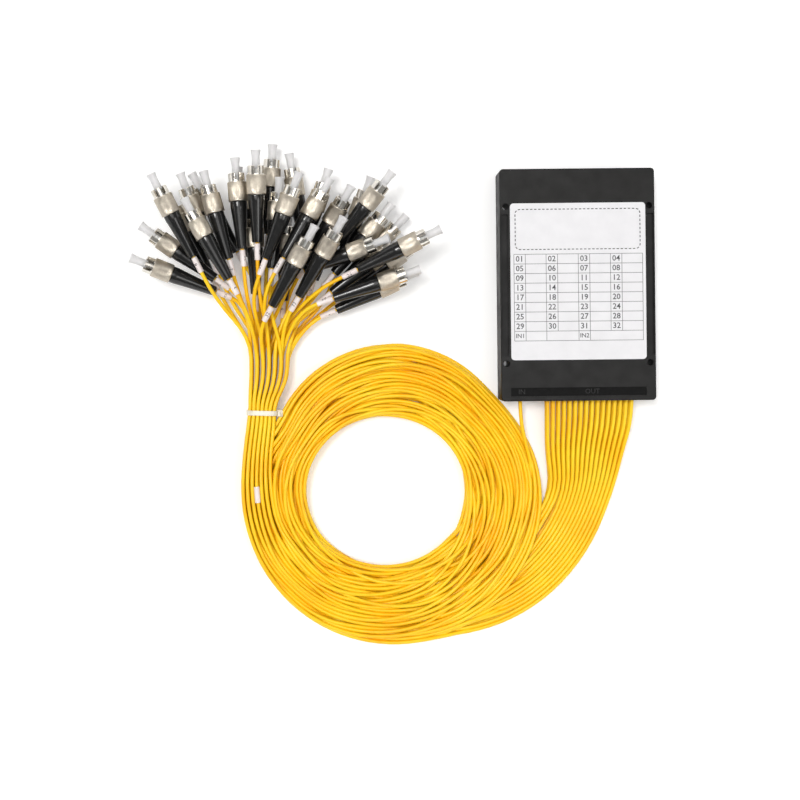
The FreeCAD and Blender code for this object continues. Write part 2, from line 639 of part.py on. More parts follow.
def connector_frame():
    """The inner body: crimp spigot, neck behind the nut's lip, and the keyed front sleeve."""
    sleeve, neck = SLEEVE_DIAMETER / 2, NECK_DIAMETER / 2
    shoulder = NUT_LIP + SHOULDER_GAP
    hold = FERRULE_DIAMETER / 2
    inner = SLEEVE_TIP - SLEEVE_BORE_DEPTH
    ferrule_back = SLEEVE_TIP + FERRULE_REACH - FERRULE_LENGTH
    body = turned([(-CRIMP_LENGTH, 0), (-CRIMP_LENGTH, CRIMP_DIAMETER / 2), (0, CRIMP_DIAMETER / 2),
                   (0, neck), (shoulder, neck), (shoulder, sleeve), (SLEEVE_TIP, sleeve),
                   (SLEEVE_TIP, SLEEVE_BORE / 2), (inner, SLEEVE_BORE / 2), (inner, hold),
                   (ferrule_back, hold), (ferrule_back, 0)])
    slot_reach = KEY_WIDTH + 2 * KEY_SLOT
    start = SLEEVE_TIP - KEY_LENGTH
    slots = Part.makeBox(KEY_LENGTH, slot_reach, sleeve,
                         Vector(start, -slot_reach / 2, SLEEVE_BORE / 4))
    slots = slots.common(turned([(start, SLEEVE_BORE / 2), (start, sleeve), (SLEEVE_TIP, sleeve),
                                 (SLEEVE_TIP, SLEEVE_BORE / 2)]))
    key = Part.makeBox(KEY_LENGTH, KEY_WIDTH, (SLEEVE_DIAMETER - SLEEVE_BORE) / 2 + KEY_HEIGHT,
                       Vector(start, -KEY_WIDTH / 2, SLEEVE_BORE / 2 - 0.2))
    return body.cut(slots).fuse(key).removeSplitter()


def ferrule():
    start = SLEEVE_TIP + FERRULE_REACH - FERRULE_LENGTH
    return Part.makeCylinder(FERRULE_DIAMETER / 2, FERRULE_LENGTH, Vector(start, 0, 0),
                             Vector(1, 0, 0))


def dust_cap():
    """The soft cap on the ferrule: a neck that goes down the sleeve and a flared tip to pull."""
    start = SLEEVE_TIP + FERRULE_REACH - CAP_DEPTH
    tip = SLEEVE_TIP + CAP_REACH
    bore = FERRULE_DIAMETER / 2 + CLOSE_FIT
    return turned([(start, bore), (start, CAP_NECK_DIAMETER / 2),
                   (tip - CAP_FLARE, CAP_NECK_DIAMETER / 2), (tip, CAP_TIP_DIAMETER / 2), (tip, 0),
                   (start + CAP_DEPTH, 0), (start + CAP_DEPTH, bore)])


def boot():
    """The strain relief: a straight shoulder and a long taper down to the cord."""
    wide = SLEEVE_DIAMETER / 2
    bore = CORD_DIAMETER / 2 + CLOSE_FIT
    crimp = CRIMP_DIAMETER / 2 + CLOSE_FIT
    front = -SHOULDER_GAP
    return turned([(-BOOT_LENGTH, bore), (-BOOT_LENGTH, BOOT_TIP_DIAMETER / 2),
                   (-BOOT_SHOULDER, wide), (front, wide), (front, crimp),
                   (-CRIMP_LENGTH - CLOSE_FIT, crimp), (-CRIMP_LENGTH - CLOSE_FIT, bore)])


def number_marker():
    """The marker sleeve that is pushed along the cord up to the boot."""
    end = -BOOT_LENGTH - MARKER_GAP
    tube = turned([(end - MARKER_LENGTH, CORD_RADIUS), (end - MARKER_LENGTH, MARKER_DIAMETER / 2),
                   (end, MARKER_DIAMETER / 2), (end, CORD_RADIUS)])
    return tube


def key_roll(number):
    """How far a connector has rolled: the keys end up anywhere near the top."""
    return 35.0 * math.sin(2.4 * number)


def lay(shape, number):
    x, y, z, heading, tilt = CONNECTORS[number][:5]
    turn = Rotation(Vector(0, 0, 1), heading) * Rotation(Vector(0, 1, 0), -tilt)
    turn = turn * Rotation(Vector(1, 0, 0), key_roll(number))
    placed = shape.copy()
    placed.Placement = FreeCAD.Placement(Vector(x, y, z), turn)
    return placed


def lay_all(shape):
    return [lay(shape, number) for number in range(len(CONNECTORS))]


def output_cords():
    return [cord_tube(output_route(column, row)) for column in range(COLUMNS) for row in (0, 1)]


def fan_cords():
    return [cord_tube(fan_route(place)) for place in CONNECTORS]


def print_radii():
    routes = [INPUT_ROUTE]
    routes += [output_route(column, row) for column in range(COLUMNS) for row in (0, 1)]
    routes += [fan_route(place) for place in CONNECTORS]
    for route in routes:
        radii = [bend_radius(*three) for three in zip(route, route[1:], route[2:])]
        print("cord radii", [round(r, 1) for r in radii])


def main():
    os.makedirs("parts", exist_ok=True)
    save("base_tray", [base_tray()])
    save("top_cover", [top_cover()])
    save("label_sheet", [label_sheet()])
    save("cord_comb", [cord_comb()])
    save("module_tube", [module_tube()])
    save("module_plugs", module_plugs())
    save("waveguide_chip", [chip_piece(CHIP_WIDTH, CHIP_LENGTH, CHIP_Y)])
    save("input_fibre_block", [chip_piece(INPUT_BLOCK_WIDTH, INPUT_BLOCK_LENGTH, INPUT_BLOCK_Y)])
    save("output_fibre_block",
         [chip_piece(OUTPUT_BLOCK_WIDTH, OUTPUT_BLOCK_LENGTH, OUTPUT_BLOCK_Y)])
    save("input_fibre", [input_fibre()])
    save("fibre_ribbons", [ribbon(n) for n in range(RIBBONS)])
    save("fanout_blocks", [fanout_block(n) for n in range(RIBBONS)])
    save("fanout_tubes", fanout_tubes())
    save("input_cord", [cord_tube(INPUT_ROUTE)])
    save("output_cords", output_cords())
    coil = cord_coil()
    save("cord_coil", [coil])
    save("tied_run", [tied_run(coil)])
    save("cable_tie", [cable_tie()])
    save("fan_cords", fan_cords())
    save("number_markers", lay_all(number_marker()))
    save("connector_frames", lay_all(connector_frame()))
    save("ferrules", lay_all(ferrule()))
    save("boots", lay_all(boot()))
    save("dust_caps", lay_all(dust_cap()))
    nut = coupling_nut()
    for number in range(len(CONNECTORS)):
        save(f"coupling_nut_{number + 1:02d}", [lay(nut, number)])
    print_radii()


main()
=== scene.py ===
"""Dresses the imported 1 x 32 PLC splitter: cords, connectors, tie, label print and materials.

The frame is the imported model's, in metres. Lengths below are in millimetres and go through MM.
"""

import json
import math
import random

import bpy
import numpy as np
from mathutils import Euler, Matrix, Vector


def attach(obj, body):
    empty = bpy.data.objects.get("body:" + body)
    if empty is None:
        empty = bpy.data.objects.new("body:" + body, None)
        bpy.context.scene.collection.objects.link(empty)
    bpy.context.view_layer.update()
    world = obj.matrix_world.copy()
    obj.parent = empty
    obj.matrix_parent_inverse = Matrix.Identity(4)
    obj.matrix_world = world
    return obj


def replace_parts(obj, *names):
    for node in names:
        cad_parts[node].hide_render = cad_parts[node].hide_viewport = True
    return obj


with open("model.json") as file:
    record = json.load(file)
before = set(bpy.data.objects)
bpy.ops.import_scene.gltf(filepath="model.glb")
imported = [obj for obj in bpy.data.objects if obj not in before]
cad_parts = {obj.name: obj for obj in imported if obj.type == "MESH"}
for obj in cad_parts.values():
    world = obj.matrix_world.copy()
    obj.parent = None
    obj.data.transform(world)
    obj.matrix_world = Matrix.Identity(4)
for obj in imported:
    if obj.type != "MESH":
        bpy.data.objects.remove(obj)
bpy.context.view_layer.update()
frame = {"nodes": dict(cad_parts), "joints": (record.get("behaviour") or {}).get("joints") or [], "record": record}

MM = 0.001
ROOT = "splitter"

# ---- cords: the routes of part.py ----
CORD_DIAMETER = 2.0
OUTPUTS = 32
COLUMNS = 16
COLUMN_PITCH = 2.93
FIRST_COLUMN_X = -15.3
INPUT_X = -29.4
ROW_Z = (6.7, 11.3)
OUTLET_Z = 9.0
COMB_BACK_Y = -54.0
OUTLET_Y = -60.0
COIL_X = -96.0
COIL_Y = -107.3
COIL_HOLE_X = -100.0
COIL_HOLE_Y = -106.8
COIL_HOLE_HALF_WIDTH = 41.8
COIL_HOLE_HALF_HEIGHT = 39.0
COIL_RADIUS = 78.6
COIL_OUTLINE = [(0, 79.0), (20, 76.6), (40, 72.7), (62, 76.4), (90, 78.7), (110, 77.0),
                (128, 75.4), (138, 73.4), (148, 70.2), (166, 76.0), (190, 79.6), (225, 79.8),
                (270, 79.4), (318, 79.4)]
JOIN_FIRST = 6.0
JOIN_LAST = 68.0
JOIN_PITCH = 2.05
TIED_X = -164.2
TIED_BOTTOM = 1.15
TIED_PITCH = 2.04
TIED_COLUMNS = (4, 5, 5, 5, 5, 5, 4)
TIED_ROWS = 5
TIED_END_Y = -47.0
TIE_Y = -65.0

# ---- connectors: their sizes along their axis, from the nut's back face ----
NUT_RADIUS = 5.0
NUT_LENGTH = 10.0
SLEEVE_RADIUS = 4.3
SLEEVE_TIP = 14.5
BOOT_LENGTH = 24.5
CRIMP_LENGTH = 8.0
KEY_START = 10.6
KEY_HALF_WIDTH = 1.05
KNURLS = 60

STEPS_PER_TURN = 24
LAST_STATION = 62  # at 930 degrees, where the tied run's lattice begins
EXIT_REACH = {57: 78.4, 58: 78.6}  # outermost, where the cords leave the coil
# The bundle that runs to the tie over the coil, at a station: its outermost cord's radius, its
# cords' pitch and its lowest height.
BUNDLE = {59: (78.5, 2.6, 5.0), 60: (78.8, 2.5, 5.8), 61: (80.2, 2.25, 4.2)}
BUNDLE_LAYER = 1.95
SLEEVED_PLACE = (3, 4)  # the cord with a spare marker sleeve, at
SLEEVED_STATION = 60


# ---------------------------------------------------------------- materials
class Shader:
    """A Principled material and short ways to drive it from procedural nodes."""

    def __init__(self, name, colour, roughness, **constants):
        self.material = bpy.data.materials.new(name)
        self.material.use_nodes = True
        self.nodes = self.material.node_tree.nodes
        self.links = self.material.node_tree.links
        self.bsdf = self.nodes["Principled BSDF"]
        self.bsdf.inputs["Base Color"].default_value = (*colour, 1)
        self.bsdf.inputs["Roughness"].default_value = roughness
        for socket, value in constants.items():
            self.bsdf.inputs[socket.replace("_", " ")].default_value = value
        self.place = self.nodes.new("ShaderNodeTexCoord").outputs["Object"]

    def stretched(self, x, y, z):
        node = self.nodes.new("ShaderNodeMapping")
        node.inputs["Scale"].default_value = (x, y, z)
        self.links.new(self.place, node.inputs["Vector"])
        return node.outputs["Vector"]

    def noise(self, scale, detail=4.0, roughness=0.55, vector=None):
        node = self.nodes.new("ShaderNodeTexNoise")
        node.inputs["Scale"].default_value = scale
        node.inputs["Detail"].default_value = detail
        node.inputs["Roughness"].default_value = roughness
        self.links.new(vector or self.place, node.inputs["Vector"])
        return node.outputs["Fac"]

    def ramp(self, factor, *stops):
        node = self.nodes.new("ShaderNodeValToRGB")
        band = node.color_ramp.elements
        while len(band) < len(stops):
            band.new(0.5)
        for element, (position, colour) in zip(band, stops):
            element.position = position
            element.color = (*colour, 1)
        self.links.new(factor, node.inputs["Fac"])
        return node.outputs["Color"]

    def spread(self, factor, low, high, start=0.3, end=0.7):
        node = self.nodes.new("ShaderNodeMapRange")
        node.inputs["From Min"].default_value = start
        node.inputs["From Max"].default_value = end
        node.inputs["To Min"].default_value = low
        node.inputs["To Max"].default_value = high
        self.links.new(factor, node.inputs["Value"])
        return node.outputs["Result"]

    def colour(self, output):
        self.links.new(output, self.bsdf.inputs["Base Color"])

    def roughness(self, output):
        self.links.new(output, self.bsdf.inputs["Roughness"])

    def bump(self, height, strength, distance, below=None):
        node = self.nodes.new("ShaderNodeBump")
        node.inputs["Strength"].default_value = strength
        node.inputs["Distance"].default_value = distance
        self.links.new(height, node.inputs["Height"])
        if below is not None:
            self.links.new(below, node.inputs["Normal"])
        self.links.new(node.outputs["Normal"], self.bsdf.inputs["Normal"])
        return node.outputs["Normal"]


def moulded_plastic(name, dark, light, grain=1400.0):
    shader = Shader(name, light, 0.5, Specular_IOR_Level=0.2)
    shader.colour(shader.ramp(shader.noise(90.0), (0.3, dark), (0.7, light)))
    shader.roughness(shader.spread(shader.noise(160.0), 0.42, 0.6))
    shader.bump(shader.noise(grain, 2.0), 0.35, 0.0001)
    return shader.material


def jacket():
    shader = Shader("cord_jacket", (1.0, 0.61, 0.008), 0.38, Specular_IOR_Level=0.35)
    shader.colour(shader.ramp(shader.noise(38.0, 3.0),
                              (0.30, (0.98, 0.51, 0.004)), (0.50, (1.0, 0.61, 0.008)),
                              (0.72, (1.0, 0.70, 0.02))))
    shader.roughness(shader.spread(shader.noise(120.0), 0.3, 0.46))
    shader.bump(shader.noise(900.0, 2.0), 0.12, 0.0001)
    return shader.material


def nickel(name, dark, light, rough, grain=300.0):
    shader = Shader(name, light, rough, Metallic=1.0)
    shader.colour(shader.ramp(shader.noise(grain), (0.32, dark), (0.68, light)))
    shader.roughness(shader.spread(shader.noise(700.0, 3.0), rough - 0.06, rough + 0.1))
    shader.bump(shader.noise(3200.0, 2.0), 0.06, 0.00002)
    return shader.material


def boot_plastic():
    shader = Shader("boot_plastic", (0.007, 0.007, 0.007), 0.2, Specular_IOR_Level=0.5)
    shader.colour(shader.ramp(shader.noise(200.0), (0.3, (0.005, 0.005, 0.005)),
                              (0.7, (0.010, 0.0098, 0.0095))))
    shader.roughness(shader.spread(shader.noise(260.0), 0.13, 0.22))
    shader.bump(shader.noise(1100.0, 2.0), 0.10, 0.0001)
    return shader.material


def cap_plastic():
    shader = Shader("cap_plastic", (0.85, 0.84, 0.88), 0.35, IOR=1.42, Transmission_Weight=0.3)
    shader.colour(shader.ramp(shader.noise(240.0), (0.3, (0.82, 0.81, 0.82)),
                              (0.7, (0.92, 0.915, 0.915))))
    shader.roughness(shader.spread(shader.noise(300.0), 0.28, 0.45))
    shader.bump(shader.noise(1200.0, 2.0), 0.08, 0.0001)
    return shader.material


def pale_plastic(name, dark, light, rough=0.45):
    shader = Shader(name, light, rough)
    shader.colour(shader.ramp(shader.noise(180.0), (0.3, dark), (0.7, light)))
    shader.roughness(shader.spread(shader.noise(220.0), rough - 0.08, rough + 0.08))
    shader.bump(shader.noise(1000.0, 2.0), 0.12, 0.0001)
    return shader.material


def paper():
    shader = Shader("label_paper", (0.78, 0.775, 0.795), 0.42, Specular_IOR_Level=0.2)
    shader.colour(shader.ramp(shader.noise(120.0), (0.3, (0.755, 0.75, 0.77)),
                              (0.7, (0.80, 0.795, 0.815))))
    shader.roughness(shader.spread(shader.noise(200.0), 0.36, 0.5))
    shader.bump(shader.noise(2200.0, 3.0), 0.10, 0.00005)
    return shader.material


# Flat matt marks: the label's print and the marker numbers, and also the painted shade and painted sheen of the
# port strip.
def print_and_painted_light(name, colour, shine=0.5):
    shader = Shader(name, colour, 0.55, Specular_IOR_Level=shine)
    shader.colour(shader.ramp(shader.noise(2500.0, 2.0), (0.25, tuple(2.0 * c for c in colour)),
                              (0.6, colour)))
    shader.roughness(shader.spread(shader.noise(900.0), 0.45, 0.65))
    return shader.material


MATERIALS = {
    "case_plastic": moulded_plastic("case_plastic", (0.009, 0.0088, 0.0086), (0.014, 0.0138, 0.0136)),
    "comb_plastic": moulded_plastic("comb_plastic", (0.014, 0.014, 0.014), (0.024, 0.024, 0.024)),
    "fanout_plastic": moulded_plastic("fanout_plastic", (0.02, 0.02, 0.02), (0.05, 0.05, 0.05)),
    "label_paper": paper(),
    "cord_jacket": jacket(),
    "module_steel": nickel("module_steel", (0.45, 0.45, 0.46), (0.62, 0.62, 0.63), 0.34),
    "nut_nickel": nickel("nut_nickel", (0.47, 0.422, 0.352), (0.57, 0.517, 0.435), 0.37, 1300.0),
    "frame_nickel": nickel("frame_nickel", (0.54, 0.51, 0.46), (0.74, 0.71, 0.65), 0.14),
    "boot_plastic": boot_plastic(),
    "cap_plastic": cap_plastic(),
    "tie_plastic": pale_plastic("tie_plastic", (0.78, 0.72, 0.58), (0.90, 0.86, 0.74)),
    "marker_plastic": pale_plastic("marker_plastic", (0.80, 0.70, 0.68), (0.90, 0.84, 0.82)),
    "seal_rubber": pale_plastic("seal_rubber", (0.6, 0.6, 0.58), (0.75, 0.75, 0.72), 0.6),
    "chip_glass": pale_plastic("chip_glass", (0.45, 0.5, 0.55), (0.6, 0.66, 0.7), 0.2),
    "block_glass": pale_plastic("block_glass", (0.6, 0.62, 0.64), (0.75, 0.77, 0.8), 0.2),
    "buffer_plastic": pale_plastic("buffer_plastic", (0.7, 0.7, 0.68), (0.85, 0.85, 0.82), 0.35),
    "ribbon_plastic": pale_plastic("ribbon_plastic", (0.15, 0.3, 0.6), (0.25, 0.45, 0.75), 0.35),
    "ferrule_ceramic": pale_plastic("ferrule_ceramic", (0.8, 0.8, 0.78), (0.9, 0.9, 0.88), 0.18),
}
INK = print_and_painted_light("print_and_painted_light", (0.03, 0.03, 0.035))
NUMBER_INK = print_and_painted_light("number_ink", (0.045, 0.045, 0.05))
LINE_INK = print_and_painted_light("line_ink", (0.10, 0.10, 0.105))
FRAME_INK = print_and_painted_light("frame_ink", (0.03, 0.03, 0.032))
# Near-black for the strip by the outlet: painted shade of its recess, not print.
PAINTED_RECESS_SHADE = print_and_painted_light("painted_recess_shade", (0.003, 0.003, 0.003), 0.1)
# Lighter grey for the embossed port words: painted sheen on their relief, not print.
PAINTED_LETTER_SHEEN = print_and_painted_light("painted_letter_sheen", (0.022, 0.022, 0.022), 0.1)


def dress_cad_nodes():
    slots = {part["node"]: part["material_slot"] for part in frame["record"]["subparts"]}
    for node, slot in slots.items():
        piece = frame["nodes"][node]
        piece.data.materials.clear()
        piece.data.materials.append(MATERIALS[slot])


# ---------------------------------------------------------------- pieces
def add_piece(name, mesh, slot, material=None, body=ROOT, smooth=True):
    piece = bpy.data.objects.new(name, mesh)
    bpy.context.scene.collection.objects.link(piece)
    mesh.materials.append(material or MATERIALS[slot])
    if smooth:
        mesh.shade_smooth()
        mesh.set_sharp_from_angle(angle=math.radians(38))
    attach(piece, body)
    return piece


def mesh_from(name, points, faces):
    mesh = bpy.data.meshes.new(name)
    mesh.from_pydata([tuple(c * MM for c in point) for point in points], [], faces)
    mesh.update()
    return mesh


def lathe(profile, sides, wobble=None):
    """Points and faces of a closed turned form about X, from (along, radius) points. A radius of
    0 closes an end to one point. wobble changes a point's radius from its place."""
    points, faces, rings = [], [], []
    for along, radius in profile:
        if radius == 0:
            rings.append([len(points)])
            points.append((along, 0.0, 0.0))
            continue
        ring = []
        for side in range(sides):
            turn = 2 * math.pi * side / sides
            r = radius if wobble is None else wobble(along, radius, turn)
            ring.append(len(points))
            points.append((along, r * math.cos(turn), r * math.sin(turn)))
        rings.append(ring)
    for low, high in zip(rings, rings[1:]):
        for side in range(sides):
            after = (side + 1) % sides
            if len(low) == 1:
                faces.append((low[0], high[after], high[side]))
            elif len(high) == 1:
                faces.append((low[side], low[after], high[0]))
            else:
                faces.append((low[side], low[after], high[after], high[side]))
    return points, faces


def merged(name, parts):
    """One mesh from (points, faces, matrix) parts, in millimetres."""
    points, faces = [], []
    for part_points, part_faces, matrix in parts:
        start = len(points)
        points += [tuple(matrix @ Vector(p)) for p in part_points]
        faces += [tuple(start + v for v in face) for face in part_faces]
    return mesh_from(name, points, faces)


# ---------------------------------------------------------------- connectors
def connector_places():
    """Each connector's matrix in millimetres: its axis is the nut's joint axis, and it has rolled
    as in part.py."""
    places = []
    for number in range(OUTPUTS + 1):
        joint = next(j for j in frame["joints"] if j["child"] == f"coupling_nut_{number + 1:02d}")
        axis = Vector(joint["axis"])
        heading = math.atan2(axis.y, axis.x)
        tilt = math.asin(axis.z)
        roll = math.radians(35.0 * math.sin(2.4 * number))
        turn = (Matrix.Rotation(heading, 4, "Z") @ Matrix.Rotation(-tilt, 4, "Y")
                @ Matrix.Rotation(roll, 4, "X"))
        places.append(Matrix.Translation(Vector(joint["pos_m"]) / MM) @ turn)
    return places


PLACES = connector_places()
# Each connector's column and row in the tied run, as in part.py.
TIED_PLACES = [(0, 1), (4, 0), (0, 0), (2, 1), (3, 2), (2, 2), (6, 3), (6, 0), (6, 2), (3, 1),
               (4, 3), (2, 0), (4, 1), (1, 2), (1, 0), (5, 1), (6, 1), (0, 3), (0, 2), (1, 1),
               (5, 4), (3, 4), (4, 4), (3, 0), (4, 2), (5, 2), (1, 3), (3, 3), (2, 3), (5, 0),
               (1, 4), (2, 4), (5, 3)]


def knurl(along, radius, turn):
    """Fine straight grooves along the nut, between its two plain rims."""
    if radius > NUT_RADIUS - 0.12 and 0.9 < along < NUT_LENGTH - 0.7:
        return radius - 0.045 * (1 + math.cos(KNURLS * turn))
    return radius


def nut_form():
    outer = NUT_RADIUS
    profile = [(0.0, 3.4), (0.0, outer - 0.2), (0.1, outer - 0.06), (0.25, outer), (0.8, outer),
               (0.92, outer - 0.03), (3.6, outer - 0.03), (6.4, outer - 0.03),
               (NUT_LENGTH - 0.72, outer - 0.03), (NUT_LENGTH - 0.6, outer - 0.02),
               (NUT_LENGTH - 0.2, outer - 0.04), (NUT_LENGTH, outer - 0.24), (NUT_LENGTH, 4.4),
               (1.5, 4.4), (1.5, 3.4), (0.0, 3.4)]
    return lathe(profile, KNURLS * 4, knurl)


def body_form():
    """The crimp spigot, the neck and the rear of the keyed sleeve."""
    profile = [(-CRIMP_LENGTH, 0), (-CRIMP_LENGTH, 2.4), (0.0, 2.4), (0.0, 3.3), (1.6, 3.3),
               (1.6, 4.15), (1.75, SLEEVE_RADIUS), (KEY_START, SLEEVE_RADIUS), (KEY_START, 3.4),
               (8.5, 3.4), (8.5, 1.3), (6.0, 1.3), (6.0, 0)]
    return lathe(profile, 48)


def sleeve_front_form():
    """The sleeve beyond the slots: a ring that is open on both sides of the key."""
    gap = math.asin(KEY_HALF_WIDTH / 3.85)
    slot = math.asin((KEY_HALF_WIDTH + 1.5) / 3.85)
    points, faces = [], []
    section = [(KEY_START, 3.4), (KEY_START, SLEEVE_RADIUS), (SLEEVE_TIP - 0.25, SLEEVE_RADIUS),
               (SLEEVE_TIP, SLEEVE_RADIUS - 0.22), (SLEEVE_TIP, 3.62), (SLEEVE_TIP - 0.2, 3.4)]
    for start, end, steps in ((slot, 2 * math.pi - slot, 44), (-gap, gap, 6)):
        first = len(points)
        raised = 0.3 if steps == 6 else 0.0
        for step in range(steps + 1):
            turn = start + (end - start) * step / steps
            for along, radius in section:
                r = radius + (raised if radius > 4 else 0)
                points.append((along, r * math.sin(turn), r * math.cos(turn)))
        count = len(section)
        for step in range(steps):
            for n in range(count):
                a, b = first + step * count + n, first + step * count + (n + 1) % count
                faces.append((a, b, b + count, a + count))
        faces.append(tuple(first + n for n in reversed(range(count))))
        faces.append(tuple(first + steps * count + n for n in range(count)))
    return points, faces


def cap_form():
    """The soft cap: a neck, and a flared tip with a rounded, slightly hollow end."""
    profile = [(SLEEVE_TIP - 1.2, 1.32), (SLEEVE_TIP - 1.2, 1.95), (SLEEVE_TIP - 1.05, 2.05),
               (SLEEVE_TIP + 4.6, 2.05), (SLEEVE_TIP + 6.4, 2.3), (SLEEVE_TIP + 7.7, 2.58),
               (SLEEVE_TIP + 7.92, 2.56), (SLEEVE_TIP + 8.0, 2.4), (SLEEVE_TIP + 8.0, 1.9),
               (SLEEVE_TIP + 7.3, 1.6), (SLEEVE_TIP + 7.1, 0)]
    outer, faces = lathe(profile, 36)
    return outer, faces


def boot_form():
    """The strain relief: shoulder, a shallow step and a long taper with a rounded tail."""
    profile = [(-CRIMP_LENGTH, 2.45), (-0.1, 2.45), (-0.1, 4.1), (-0.25, 4.25), (-0.5, 4.3),
               (-2.7, 4.3), (-3.0, 4.28), (-3.4, 4.22)]
    for step in range(1, 12):
        along = -3.4 - (BOOT_LENGTH - 4.2) * step / 12
        share = (-3.4 - along) / (BOOT_LENGTH - 3.4)
        profile.append((along, 4.22 - 1.67 * share - 0.10 * math.sin(math.pi * share)))
    profile += [(-BOOT_LENGTH + 0.5, 2.56), (-BOOT_LENGTH + 0.15, 2.5), (-BOOT_LENGTH, 2.3),
                (-BOOT_LENGTH, 1.2), (-BOOT_LENGTH + 0.6, 1.04), (-CRIMP_LENGTH, 1.04),
                (-CRIMP_LENGTH, 2.45)]
    return lathe(profile, 48)


def marker_form(start=-BOOT_LENGTH - 0.6 - 8.5, length=8.5):
    """A marker sleeve on its cord, with rounded ends."""
    end = start + length
    profile = [(start + 0.05, 1.05), (start, 1.2), (start, 1.35), (start + 0.12, 1.48),
               (start + 0.5, 1.5), (start + length / 2, 1.5), (end - 0.5, 1.5),
               (end - 0.12, 1.48), (end, 1.35), (end, 1.2), (end - 0.05, 1.05),
               (start + 0.05, 1.05)]
    return lathe(profile, 24)


def flat_text(text, height, weight=0.0):
    """A word's outline points and faces on the XY plane, centred on the origin."""
    curve = bpy.data.curves.new("word", "FONT")
    curve.body = text
    curve.size = height * 1.38
    curve.offset = weight
    curve.align_x, curve.align_y = "CENTER", "CENTER"
    curve.resolution_u = 2
    holder = bpy.data.objects.new("word", curve)
    bpy.context.scene.collection.objects.link(holder)
    mesh = bpy.data.meshes.new_from_object(holder)
    points = [tuple(v.co) for v in mesh.vertices]
    faces = [tuple(p.vertices) for p in mesh.polygons]
    bpy.data.objects.remove(holder)
    bpy.data.curves.remove(curve)
    bpy.data.meshes.remove(mesh)
    return points, faces


def marker_digits(number):
    """A cord's number, printed round its marker sleeve."""
    points, faces = flat_text(f"{number:02d}", 2.0)
    middle = -BOOT_LENGTH - 0.6 - 4.4
    wrapped = []
    for x, y, _ in points:
        turn = y / 1.5
        wrapped.append((middle + x, 1.515 * math.sin(turn), 1.515 * math.cos(turn)))
    return wrapped, faces


def build_connectors():
    nut = nut_form()
    nuts = []
    for number, place in enumerate(PLACES):
        node = f"coupling_nut_{number + 1:02d}"
        mesh = merged(node + "_knurled", [(*nut, place)])
        piece = add_piece(node + "_knurled", mesh, "nut_nickel", body=node)
        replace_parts(piece, node)
        nuts.append(piece)
    body, front = body_form(), sleeve_front_form()
    for name, forms, slot, node in (
            ("keyed_sleeves", [body, front], "frame_nickel", "connector_frames"),
            ("soft_caps", [cap_form()], "cap_plastic", "dust_caps"),
            ("taper_boots", [boot_form()], "boot_plastic", "boots"),
            ("marker_sleeves", [marker_form()], "marker_plastic", "number_markers")):
        parts = [(*form, place) for place in PLACES for form in forms]
        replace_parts(add_piece(name, merged(name, parts), slot), node)
    digits = [(*marker_digits(number + 1), place @ Matrix.Rotation(0.9 * math.sin(1.7 * number),
                                                                   4, "X"))
              for number, place in enumerate(PLACES)]
    add_piece("marker_digits", merged("marker_digits", digits), "marker_plastic", INK,
              smooth=False)
    return nuts


# ---------------------------------------------------------------- cords
def inner_radius(angle):
    """From the coil's centre to the edge of its oval hole, in a direction."""
    along = Vector((math.cos(angle) / COIL_HOLE_HALF_WIDTH,
                    math.sin(angle) / COIL_HOLE_HALF_HEIGHT))
    offset = Vector(((COIL_HOLE_X - COIL_X) / COIL_HOLE_HALF_WIDTH,
                     (COIL_HOLE_Y - COIL_Y) / COIL_HOLE_HALF_HEIGHT))
    across = offset.dot(along)
    size = along.length_squared
    return (across + math.sqrt(across ** 2 + size * (1 - offset.length_squared))) / size


def outer_radius(angle):
    degrees = math.degrees(angle) % 360
    angles = [a for a, _ in COIL_OUTLINE]
    radii = [r for _, r in COIL_OUTLINE]
    return float(np.interp(degrees, angles, radii, period=360))


def smooth(value):
    value = min(1.0, max(0.0, value))
    return value * value * (3 - 2 * value)


def join_angle(column):
    return JOIN_FIRST + (JOIN_LAST - JOIN_FIRST) * column / (COLUMNS - 1)


def side_radius(column, row, angle):
    """How far an output cord lies from the coil's centre before it joins the coil."""
    per_degree = JOIN_PITCH * (COLUMNS - 1) / (JOIN_LAST - JOIN_FIRST)
    return COIL_RADIUS + 1.3 + 0.7 * row + per_degree * (join_angle(column) - angle)


def tied_place(column, row):
    across = column - (len(TIED_COLUMNS) - 1) / 2
    up = row + 0.5 + (TIED_ROWS - TIED_COLUMNS[column]) / 2
    return TIED_X + across * TIED_PITCH, TIED_BOTTOM + up * TIED_PITCH


# How the cords of one pass lie across the coil, 0 at the hole and 1 outside: the turned angle,
# the middle of the pass and its width.
PASSES = [(0, 0.80, 0.4), (90, 0.74, 0.5), (180, 0.50, 0.85), (270, 0.50, 0.95),
          (360, 0.48, 0.95), (450, 0.38, 0.72), (540, 0.44, 0.8), (630, 0.50, 0.95),
          (720, 0.56, 0.85), (810, 0.70, 0.56), (930, 0.74, 0.5)]


# The relaxation of the coil: rounds, how much a cord straightens in each, how far it falls, and
# how often it is pushed off its neighbours.
SETTLING = [(60, 0.2, 0.02, 2), (60, 0.06, 0.015, 3), (50, 0.02, 0.01, 3)]
CORD_ROOM = 2.03


